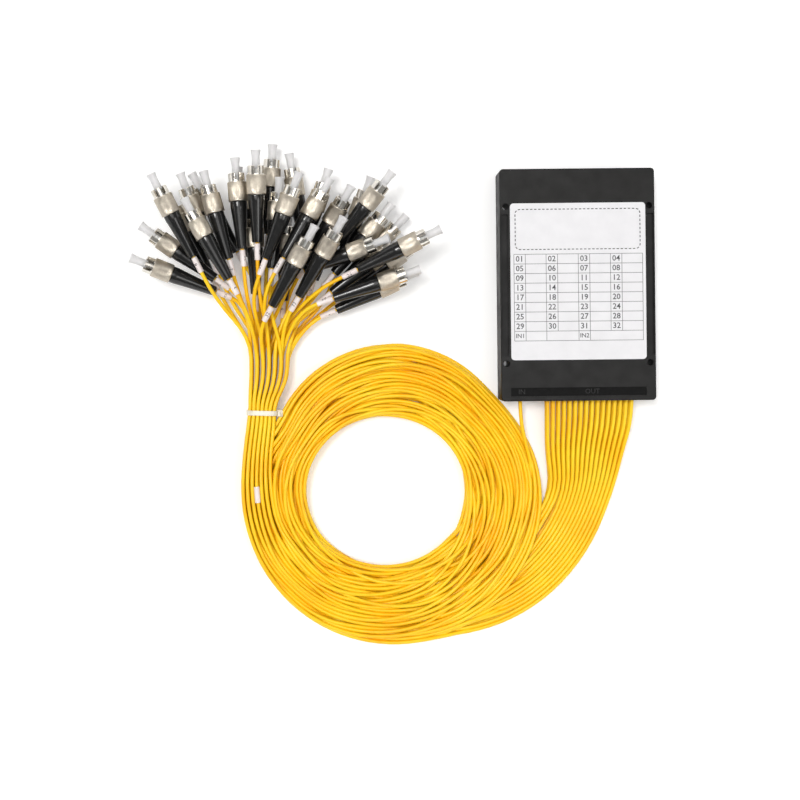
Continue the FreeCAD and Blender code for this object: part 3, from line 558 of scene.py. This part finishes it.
class Lay:
    """Where the 33 cords lie across the coil, at stations 15 degrees apart round it."""

    def __init__(self, order):
        self.rng = random.Random(7)
        self.count = OUTPUTS + 1
        self.order = order
        self.wanted = np.zeros((self.count, LAST_STATION + 1))
        self.level = np.zeros_like(self.wanted)
        self.radius = np.zeros_like(self.wanted)
        self.height = np.zeros_like(self.wanted)
        self.held = np.zeros(self.wanted.shape, bool)
        turns = [math.radians(-15.0 * station) for station in range(LAST_STATION + 1)]
        self.low = np.array([inner_radius(turn) + 1.0 for turn in turns])
        self.high = np.array([outer_radius(turn) - 1.0 for turn in turns])
        for station, reach in EXIT_REACH.items():
            self.high[station] = reach
        self.bias = np.zeros(self.count)
        for _ in range(8):
            self.plan()
            self.stack()
            lengths = np.array([run_length(cord_points(self, c)) for c in range(self.count)])
            self.bias -= (lengths - lengths.mean()) / 400
        self.settle()

    def plan(self):
        """How far out each cord would lie at each station. Its middle turns are wider or tighter
        as its bias says, which makes the cords equally long."""
        self.rng = random.Random(7)
        for cord in range(self.count):
            column, row = (cord // 2, cord % 2) if cord < OUTPUTS else (0, 0)
            joins = join_angle(column) if cord < OUTPUTS else 0.0
            entry = column / (COLUMNS - 1) - 0.5
            tied_column, tied_row = TIED_PLACES[self.order[cord]]
            leaving = 0.5 - (tied_column + 0.5) / len(TIED_COLUMNS)
            waves = [(self.rng.uniform(0, 6.28), self.rng.uniform(0.5, 1.3),
                      self.rng.uniform(0.02, 0.075)) for _ in range(3)]
            for station in range(LAST_STATION + 1):
                turned = 15.0 * station
                low, high = self.low[station], self.high[station]
                if station == LAST_STATION:
                    x, z = tied_place(tied_column, tied_row)
                    self.hold(cord, station, abs(x - COIL_X) / math.cos(math.radians(30)), z)
                    continue
                if station in BUNDLE:
                    reach, pitch, lowest = BUNDLE[station]
                    up = tied_row + (TIED_ROWS - TIED_COLUMNS[tied_column]) / 2
                    self.hold(cord, station, reach - pitch * tied_column,
                              lowest + BUNDLE_LAYER * up)
                    continue
                if turned < joins:
                    z = (1.2, 3.3)[row] + 0.5 * (1 - turned / joins)
                    self.hold(cord, station, side_radius(column, row, turned), z)
                    continue
                middle = np.interp(turned, [p[0] for p in PASSES], [p[1] for p in PASSES])
                width = np.interp(turned, [p[0] for p in PASSES], [p[2] for p in PASSES])
                share = smooth((turned - 180) / 600)
                across = entry * (1 - share) + leaving * share
                across += sum(size * math.sin(start + math.radians(turned) * rate)
                              for start, rate, size in waves)
                across += self.bias[cord] * smooth((turned - 120) / 90) * smooth((830 - turned) / 90)
                into = smooth((turned - joins) / 80)
                place = (1 - into) * 1.0 + into * (middle + width * across)
                away = smooth((turned - 830) / 70)
                side = 0.5 + leaving * 0.92
                self.wanted[cord, station] = low + (high - low) * place
                if away > 0:
                    exit_low = 60.8 + 2.2 * max(0.0, (turned - 885) / 15)
                    gone = exit_low + 17.6 * side
                    self.wanted[cord, station] += away * (gone - self.wanted[cord, station])
                self.level[cord, station] = (turned / 360
                                             + 0.3 * math.sin(waves[0][0] + 0.6 * turned / 57.3)
                                             + 0.2 * tied_row * away / 5)

    def hold(self, cord, station, radius, height):
        self.radius[cord, station] = radius
        self.height[cord, station] = height
        self.held[cord, station] = True

    def stack(self):
        """Gives each free cord at a station a place of its own: outer cords in outer columns, and
        in a column the later turns above the earlier ones."""
        for direction in range(STEPS_PER_TURN):
            found = [(c, s) for s in range(direction, LAST_STATION + 1, STEPS_PER_TURN)
                     for c in range(self.count) if not self.held[c, s]]
            found.sort(key=lambda place: self.wanted[place])
            low = self.low[direction]
            high = max(self.high[direction], max(self.wanted[place] for place in found))
            columns = int((high - low) / 2.08) + 1
            across = (np.arange(columns) + 0.5) / columns * 2 - 1
            room = 0.5 + 0.5 * np.sqrt(1 - np.abs(across) ** 2.6)
            limits = np.cumsum(room) / room.sum() * len(found)
            start = 0
            for column in range(columns):
                end = int(round(limits[column]))
                here = sorted(found[start:end], key=lambda place: self.level[place])
                start = end
                for row, place in enumerate(here):
                    self.radius[place] = low + (high - low) * column / max(1, columns - 1)
                    self.height[place] = 1.05 + 1.9 * row

    def settle(self):
        """Smooths each cord along its length and pushes crossing cords off each other, while
        gravity closes the gaps."""
        free = ~self.held
        groups = self.groups()
        for rounds, ease, fall, pushes in SETTLING:
            for _ in range(rounds):
                across = (self.radius - self.low) / (self.high - self.low)
                for values in (across, self.height):
                    inner = (values[:, :-2] + values[:, 2:]) / 2 - values[:, 1:-1]
                    values[:, 1:-1] += ease * inner * free[:, 1:-1]
                self.radius = self.low + across * (self.high - self.low)
                self.height[free] -= fall
                for _ in range(pushes):
                    self.push(groups, free)
                    self.keep_in(free)

    def groups(self):
        """Index lists of what meets in one cross-section: at a station, and half way to the next."""
        found = []
        for direction in range(STEPS_PER_TURN):
            stations = range(direction, LAST_STATION + 1, STEPS_PER_TURN)
            first = [(c, s, s) for s in stations for c in range(self.count)]
            half = [(c, s, s + 1) for s in stations if s < LAST_STATION for c in range(self.count)]
            found += [np.array(first).T, np.array(half).T]
        return found

    def push(self, groups, free):
        move_r, move_z = np.zeros_like(self.radius), np.zeros_like(self.height)
        contacts = np.zeros_like(self.radius)
        for cords, before, after in groups:
            r = (self.radius[cords, before] + self.radius[cords, after]) / 2
            z = (self.height[cords, before] + self.height[cords, after]) / 2
            dr, dz = r[:, None] - r[None], z[:, None] - z[None]
            gap = np.hypot(dr, dz)
            close = (gap < CORD_ROOM) & ~np.eye(len(r), dtype=bool)
            size = np.where(close, (CORD_ROOM - gap) / np.maximum(gap, 0.05) / 2, 0.0)
            push_r, push_z, touching = (size * dr).sum(1), (size * dz).sum(1), close.sum(1)
            for station in (before,) if (before == after).all() else (before, after):
                np.add.at(move_r, (cords, station), push_r)
                np.add.at(move_z, (cords, station), push_z)
                np.add.at(contacts, (cords, station), touching)
        share = 0.7 / np.sqrt(np.maximum(contacts, 1))
        self.radius += np.where(free, move_r * share, 0)
        self.height += np.where(free, move_z * share, 0)

    def keep_in(self, free):
        inside = np.clip(self.radius, self.low, self.high)
        self.radius = np.where(free, inside, self.radius)
        self.height = np.where(free, np.maximum(self.height, 1.02), self.height)

    def worst(self):
        """The share of neighbours that still overlap, for the builder's eyes."""
        gaps = []
        for cords, before, after in self.groups():
            r = (self.radius[cords, before] + self.radius[cords, after]) / 2
            z = (self.height[cords, before] + self.height[cords, after]) / 2
            gap = np.hypot(r[:, None] - r[None], z[:, None] - z[None])
            gaps.append(gap[np.triu_indices(len(r), 1)])
        gaps = np.concatenate(gaps)
        close = gaps[gaps < 2.3]
        return {"pairs": len(close), "under 1.8": int((close < 1.8).sum()),
                "under 1.4": int((close < 1.4).sum()), "least": round(float(close.min()), 2),
                "highest": round(float(self.height.max()), 2)}


def run_length(points):
    """The length of the spline that has these control points, nearly."""
    middles = [(a + b) / 2 for a, b in zip(points, points[1:])]
    return sum((b - a).length for a, b in zip([points[0], *middles], [*middles, points[-1]]))


def cord_points(lay, cord):
    """All control points of one cord, from inside the comb to inside its boot."""
    if cord < OUTPUTS:
        column, row = cord // 2, cord % 2
        x = FIRST_COLUMN_X + COLUMN_PITCH * column
        points = [Vector((x, COMB_BACK_Y, ROW_Z[row])), Vector((x, OUTLET_Y - 9.0, ROW_Z[row])),
                  Vector((-15.0 + column * 2.62, -86.0, (3.6, 7.4)[row]))]
        first = 0
    else:
        points = [Vector((INPUT_X, COMB_BACK_Y, OUTLET_Z)), Vector((INPUT_X, -69.0, OUTLET_Z)),
                  Vector((-26.6, -82.0, 7.4)), Vector((-23.0, -94.0, 5.2))]
        first = 1
    widen = 1 / math.cos(math.pi / STEPS_PER_TURN)
    for station in range(first, LAST_STATION + 1):
        angle = math.radians(-15.0 * station)
        radius = lay.radius[cord, station] * (widen if station < 57 else 1.0)
        points.append(Vector((COIL_X + radius * math.cos(angle), COIL_Y + radius * math.sin(angle),
                              lay.height[cord, station])))
    number = lay.order[cord]
    x, z = tied_place(*TIED_PLACES[number])
    points.append(Vector((x, max(TIE_Y + 4.5, points[-1].y + 8.0), z)))
    start = Vector((x + 4.0 + 1.1 * (TIED_PLACES[number][0] - 3), TIED_END_Y, z))
    place = PLACES[number]
    tip = place @ Vector((-BOOT_LENGTH, 0, 0))
    gap = (tip - start).length
    behind = place @ Vector((-BOOT_LENGTH - 0.35 * gap, 0, 0))
    behind.z = max(behind.z, 1.2)
    points += [start, start + Vector((0, 0.3 * gap, 0)), behind, tip,
               place @ Vector((-CRIMP_LENGTH - 0.05, 0, 0))]
    return points


def sleeve_on(points, place):
    """A short sleeve round a cord at one of its control points."""
    before, middle, after = (points[place + n] for n in (-1, 0, 1))
    centre = (before + 6 * middle + after) / 8
    turn = (after - before).to_track_quat("X", "Z").to_matrix().to_4x4()
    return merged("spare_sleeve", [(*marker_form(-4.2, 8.4), Matrix.Translation(centre) @ turn)])


def cord_curve(name, points):
    curve = bpy.data.curves.new(name, "CURVE")
    curve.dimensions = "3D"
    curve.bevel_depth = CORD_DIAMETER / 2 * MM
    curve.bevel_resolution = 3
    curve.resolution_u = 4
    curve.use_fill_caps = True
    spline = curve.splines.new("NURBS")
    spline.points.add(len(points) - 1)
    for control, point in zip(spline.points, points):
        control.co = (*(point * MM), 1)
    spline.order_u = 3
    spline.use_endpoint_u = True
    curve.materials.append(MATERIALS["cord_jacket"])
    piece = bpy.data.objects.new(name, curve)
    bpy.context.scene.collection.objects.link(piece)
    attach(piece, ROOT)
    return piece


def exit_order():
    """Which connector each cord ends in. Cords from the outer columns mostly end up in the outer
    columns of the tied run, with some mixing on the way."""
    rng = random.Random(3)
    connectors = sorted(range(OUTPUTS + 1), key=lambda n: (TIED_PLACES[n][0], TIED_PLACES[n][1]))
    outside = {cord: 0.4 * (cord // 2) + rng.gauss(0, 5.0) for cord in range(OUTPUTS)}
    outside[OUTPUTS] = 4.0
    cords = sorted(outside, key=outside.get)
    return dict(zip(cords, connectors))


def build_cords():
    lay = Lay(exit_order())
    for cord in range(OUTPUTS + 1):
        name = f"output_cord_{cord + 1:02d}" if cord < OUTPUTS else "input_cord_laid"
        points = cord_points(lay, cord)
        piece = cord_curve(name, points)
        if cord < OUTPUTS:
            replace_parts(piece, "output_cords", "cord_coil", "tied_run", "fan_cords")
        else:
            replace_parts(piece, "input_cord", "cord_coil", "tied_run", "fan_cords")
        if TIED_PLACES[lay.order[cord]] == SLEEVED_PLACE:
            place = len(points) - 6 - (LAST_STATION - SLEEVED_STATION) - 1
            add_piece("spare_sleeve", sleeve_on(points, place), "marker_plastic")
    return lay


# ---------------------------------------------------------------- label, tie and small marks
LABEL_TOP_Z = 18.0
STRIP_Z = 17.6
STRIP_Y = -55.2
STRIP_LEFT, STRIP_RIGHT = -35.0, 35.0
STRIP_WIDTH = 4.4
MARK_RISE = 0.02
TABLE_ROWS = 9
TABLE_LOW, TABLE_HIGH = -28.85, 15.85
TABLE_LEFT, TABLE_RIGHT = -32.9, 33.5
NUMBER_CELL = 5.9
LINE_WIDTH = 0.26
HEADER_LOW, HEADER_HIGH = 18.3, 39.0
HEADER_LEFT, HEADER_RIGHT = -32.1, 32.3
HEADER_CORNER = 2.4


def stroke(points, width):
    """A flat line of a given width through points on the label."""
    found, faces = [], []
    for n, (x, y) in enumerate(points):
        before, after = points[max(n - 1, 0)], points[min(n + 1, len(points) - 1)]
        along = Vector((after[0] - before[0], after[1] - before[1])).normalized()
        side = Vector((-along.y, along.x)) * width / 2
        found += [(x - side.x, y - side.y, 0), (x + side.x, y + side.y, 0)]
        if n:
            at = 2 * n
            faces.append((at - 2, at, at + 1, at - 1))
    return found, faces


def dashed_frame():
    """The header's rounded frame, in dashes."""
    outline = []
    for x, y, start in ((HEADER_RIGHT, HEADER_HIGH, 0), (HEADER_LEFT, HEADER_HIGH, 90),
                        (HEADER_LEFT, HEADER_LOW, 180), (HEADER_RIGHT, HEADER_LOW, 270)):
        inward = Vector((-1 if x > 0 else 1, -1 if y > 30 else 1)) * HEADER_CORNER
        for step in range(7):
            turn = math.radians(start + 15 * step)
            outline.append(Vector((x + inward.x + HEADER_CORNER * math.cos(turn),
                                   y + inward.y + HEADER_CORNER * math.sin(turn))))
    outline.append(outline[0])
    lengths = [0.0]
    for a, b in zip(outline, outline[1:]):
        lengths.append(lengths[-1] + (b - a).length)
    dashes = round(lengths[-1] / 2.1)
    found = []
    for dash in range(dashes):
        start = lengths[-1] * dash / dashes
        marks = [start + 1.25 * n / 3 for n in range(4)]
        xs = np.interp(marks, lengths, [p.x for p in outline])
        ys = np.interp(marks, lengths, [p.y for p in outline])
        found.append(stroke(list(zip(xs, ys)), 0.45))
    return found


def table_lines():
    pair = (TABLE_RIGHT - TABLE_LEFT) / 4
    row = (TABLE_HIGH - TABLE_LOW) / TABLE_ROWS
    found = [stroke([(TABLE_LEFT, TABLE_LOW + row * n), (TABLE_RIGHT, TABLE_LOW + row * n)],
                    LINE_WIDTH)
             for n in range(TABLE_ROWS + 1)]
    for n in range(4):
        left = TABLE_LEFT + pair * n
        low_left = TABLE_LOW if n != 3 else TABLE_LOW + row
        low_cell = TABLE_LOW if n in (0, 2) else TABLE_LOW + row
        found.append(stroke([(left, low_left), (left, TABLE_HIGH)], LINE_WIDTH))
        found.append(stroke([(left + NUMBER_CELL, low_cell), (left + NUMBER_CELL, TABLE_HIGH)],
                            LINE_WIDTH))
    found.append(stroke([(TABLE_RIGHT, TABLE_LOW), (TABLE_RIGHT, TABLE_HIGH)], LINE_WIDTH))
    return found


def table_words():
    pair = (TABLE_RIGHT - TABLE_LEFT) / 4
    row = (TABLE_HIGH - TABLE_LOW) / TABLE_ROWS
    found = []
    for port in range(OUTPUTS):
        x = TABLE_LEFT + pair * (port % 4) + NUMBER_CELL / 2
        y = TABLE_HIGH - row * (port // 4 + 0.5)
        found.append((*flat_text(f"{port + 1:02d}", 3.0, 0.05), Matrix.Translation((x, y, 0))))
    for column, word in ((0, "IN1"), (2, "IN2")):
        x = TABLE_LEFT + pair * column + NUMBER_CELL / 2
        found.append((*flat_text(word, 2.3, 0.03), Matrix.Translation((x, TABLE_LOW + row / 2, 0))))
    return found


# The label's printed frame, lines and numbers, and the port strip with its painted shade and painted sheen.
def build_print_and_painted_light():
    rise = Matrix.Translation((0, 0, LABEL_TOP_Z + MARK_RISE))
    for name, flat, ink in (("label_frame", dashed_frame(), FRAME_INK),
                            ("label_lines", table_lines(), LINE_INK)):
        add_piece(name, merged(name, [(*form, rise) for form in flat]), "label_paper", ink,
                  smooth=False)
    words = [(points, faces, rise @ place) for points, faces, place in table_words()]
    add_piece("label_numbers", merged("label_numbers", words), "label_paper", NUMBER_INK,
              smooth=False)
    # The strip by the outlet: a near-black sheet on its recess, its colour painted shade of that recess.
    strip = Matrix.Translation((0, 0, STRIP_Z + MARK_RISE))
    band = stroke([(STRIP_LEFT, STRIP_Y), (STRIP_RIGHT, STRIP_Y)], STRIP_WIDTH)
    add_piece("painted_shade_strip", merged("painted_shade_strip", [(*band, strip)]), "case_plastic", PAINTED_RECESS_SHADE,
              smooth=False)
    # The embossed IN and OUT, laid flat in a lighter grey that is painted sheen on their relief.
    above = Matrix.Translation((0, 0, STRIP_Z + 2 * MARK_RISE))
    marks = [(*flat_text("IN", 2.6, 0.03), above @ Matrix.Translation((INPUT_X, STRIP_Y, 0))),
             (*flat_text("OUT", 2.6, 0.03), above @ Matrix.Translation((7.0, STRIP_Y, 0)))]
    add_piece("painted_sheen_port_words", merged("painted_sheen_port_words", marks), "case_plastic", PAINTED_LETTER_SHEEN,
              smooth=False)


def rounded_section(width, height, corner, steps=4):
    """Points round a rounded rectangle, centred on the origin."""
    points = []
    for x, y, start in ((1, 1, 0), (-1, 1, 90), (-1, -1, 180), (1, -1, 270)):
        for step in range(steps + 1):
            turn = math.radians(start + 90 * step / steps)
            points.append((x * (width / 2 - corner) + corner * math.cos(turn),
                           y * (height / 2 - corner) + corner * math.sin(turn)))
    return points


def build_tie():
    """The tie: a band round the bundle, its locking head and the cut end of its tail."""
    width, height, thick, reach = 14.7, 10.65, 0.95, 2.6
    middle_z = 1.0 + 10.5 / 2
    inner = rounded_section(width, height, 3.7, 10)
    outer = rounded_section(width + 2 * thick, height + 2 * thick, 3.7 + thick, 10)
    teeth = [(0.97 + 0.03 * (n % 2)) for n in range(len(outer))]
    points, faces = [], []
    count = len(inner)
    across = [(-reach / 2, 0.0), (-reach / 2, 0.85), (-reach / 2 + 0.15, 1.0),
              (reach / 2 - 0.15, 1.0), (reach / 2, 0.85), (reach / 2, 0.0)]
    for n in range(count):
        for y, share in across:
            x = inner[n][0] + (outer[n][0] - inner[n][0]) * share
            z = inner[n][1] + (outer[n][1] - inner[n][1]) * share
            points.append((x, y, z))
    rows = len(across)
    for n in range(count):
        after = (n + 1) % count
        for k in range(rows):
            step = (k + 1) % rows
            faces.append((n * rows + k, n * rows + step, after * rows + step, after * rows + k))
    head_points, head_faces = [], []
    for y, grow in ((-1.9, 0.75), (-1.6, 0.95), (-1.3, 1.0), (1.3, 1.0), (1.6, 0.95), (1.9, 0.75)):
        ring = rounded_section(3.4 * grow, 4.2 * grow, 0.5)
        head_points += [(x, y, z) for x, z in ring]
    ring_size = len(head_points) // 6
    for k in range(5):
        for n in range(ring_size):
            a, b = k * ring_size + n, k * ring_size + (n + 1) % ring_size
            head_faces.append((a, b, b + ring_size, a + ring_size))
    head_faces.append(tuple(reversed(range(ring_size))))
    head_faces.append(tuple(5 * ring_size + n for n in range(ring_size)))
    tail_ring = rounded_section(0.9, 2.3, 0.2)
    tail_points = [(x, y, z) for z in (0.0, 3.4) for x, y in tail_ring]
    size = len(tail_ring)
    tail_faces = [(n, (n + 1) % size, size + (n + 1) % size, size + n) for n in range(size)]
    tail_faces += [tuple(reversed(range(size))), tuple(range(size, 2 * size))]
    place = Matrix.Translation((TIED_X, TIE_Y, middle_z)) @ Matrix.Rotation(-0.035, 4, "Z")
    head = place @ Matrix.Translation((width / 2 + thick + 0.8, 0, 0))
    tail = place @ Matrix.Translation((width / 2 + thick + 0.7, 0, 1.2))
    mesh = merged("tie_band", [(points, faces, place), (head_points, head_faces, head),
                               (tail_points, tail_faces, tail)])
    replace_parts(add_piece("tie_band", mesh, "tie_plastic"), "cable_tie")


# ---------------------------------------------------------------- light, floor and camera
def seen_directly(nodes, links):
    """1 for what the camera sees straight, in a shine or through a clear piece, and 0 for light."""
    rays = nodes.new("ShaderNodeLightPath").outputs
    total = rays["Is Camera Ray"]
    for ray in ("Is Glossy Ray", "Is Transmission Ray"):
        add = nodes.new("ShaderNodeMath")
        add.operation = "ADD"
        add.use_clamp = True
        links.new(total, add.inputs[0])
        links.new(rays[ray], add.inputs[1])
        total = add.outputs[0]
    return total


def blended(nodes, links, factor, low, high):
    node = nodes.new("ShaderNodeMapRange")
    node.inputs["To Min"].default_value = low
    node.inputs["To Max"].default_value = high
    links.new(factor, node.inputs["Value"])
    return node.outputs["Result"]


def studio():
    """A pale world and three wide soft lights, at an even level over object and floor."""
    world = bpy.data.worlds.new("studio")
    bpy.context.scene.world = world
    world.use_nodes = True
    back = world.node_tree.nodes["Background"]
    back.inputs["Color"].default_value = (1.0, 1.0, 1.0, 1)
    back.inputs["Strength"].default_value = 0.32
    for name, place, spread, power in (("key", (-0.31, 0.20, 1.1), 16, 1.25),
                                       ("fill", (0.64, -0.34, 1.1), 24, 0.5),
                                       ("top", (-0.05, 0.12, 1.1), 42, 0.8)):
        lamp = bpy.data.lights.new(name, "SUN")
        lamp.angle = math.radians(spread)
        lamp.energy = power
        lamp.color = (1.0, 0.99, 0.975)
        holder = bpy.data.objects.new(name, lamp)
        holder.location = place
        holder.rotation_euler = (-Vector(place)).to_track_quat("-Z", "Y").to_euler()
        bpy.context.scene.collection.objects.link(holder)


def stage_material(name, lift):
    """Pale and matt, lifted towards white where it is seen, with its shadows kept."""
    shader = Shader(name, (0.90, 0.90, 0.90), 0.9, Specular_IOR_Level=0.0)
    shader.colour(shader.ramp(shader.noise(3.0, 2.0), (0.3, (0.89, 0.89, 0.89)),
                              (0.7, (0.91, 0.91, 0.91))))
    shader.bsdf.inputs["Emission Color"].default_value = (1, 1, 1, 1)
    seen = seen_directly(shader.nodes, shader.links)
    shader.links.new(blended(shader.nodes, shader.links, seen, 0.0, lift),
                     shader.bsdf.inputs["Emission Strength"])
    return shader.material


def stage_piece(name, points, faces, lift):
    mesh = bpy.data.meshes.new(name)
    mesh.from_pydata(points, [], faces)
    piece = bpy.data.objects.new(name, mesh)
    bpy.context.scene.collection.objects.link(piece)
    mesh.materials.append(stage_material(name + "_white", lift))


def surroundings():
    """The floor, and four low pale walls far off."""
    side, below, top = 3.0, -0.0004, 1.6
    corners = [(-side, -side), (side, -side), (side, side), (-side, side)]
    stage_piece("floor", [(x, y, below) for x, y in corners], [(0, 1, 2, 3)], 0.2)
    walls = [(x, y, z) for z in (below, top) for x, y in corners]
    stage_piece("backdrop", walls, [(n, n + 4, (n + 1) % 4 + 4, (n + 1) % 4) for n in range(4)], 0.72)


CAMERA_SHIFT = 25.0
PICTURE_WIDTH = 423.5


def camera():
    lens = bpy.data.cameras.new("camera")
    lens.lens = 59.5
    lens.sensor_width = 36.0
    lens.clip_start = 0.05
    lens.shift_x, lens.shift_y = CAMERA_SHIFT / PICTURE_WIDTH, -CAMERA_SHIFT / PICTURE_WIDTH
    holder = bpy.data.objects.new("camera", lens)
    holder.location = Vector((-91.5 - CAMERA_SHIFT, -59.0 + CAMERA_SHIFT, 700.0)) * MM
    holder.rotation_euler = Euler((0, 0, math.radians(-0.6)))
    bpy.context.scene.collection.objects.link(holder)
    bpy.context.scene.camera = holder


dress_cad_nodes()
knurled_nuts = build_connectors()
build_cords()
build_print_and_painted_light()
build_tie()
studio()
surroundings()
camera()
scene = bpy.context.scene
scene.view_settings.view_transform = "Standard"
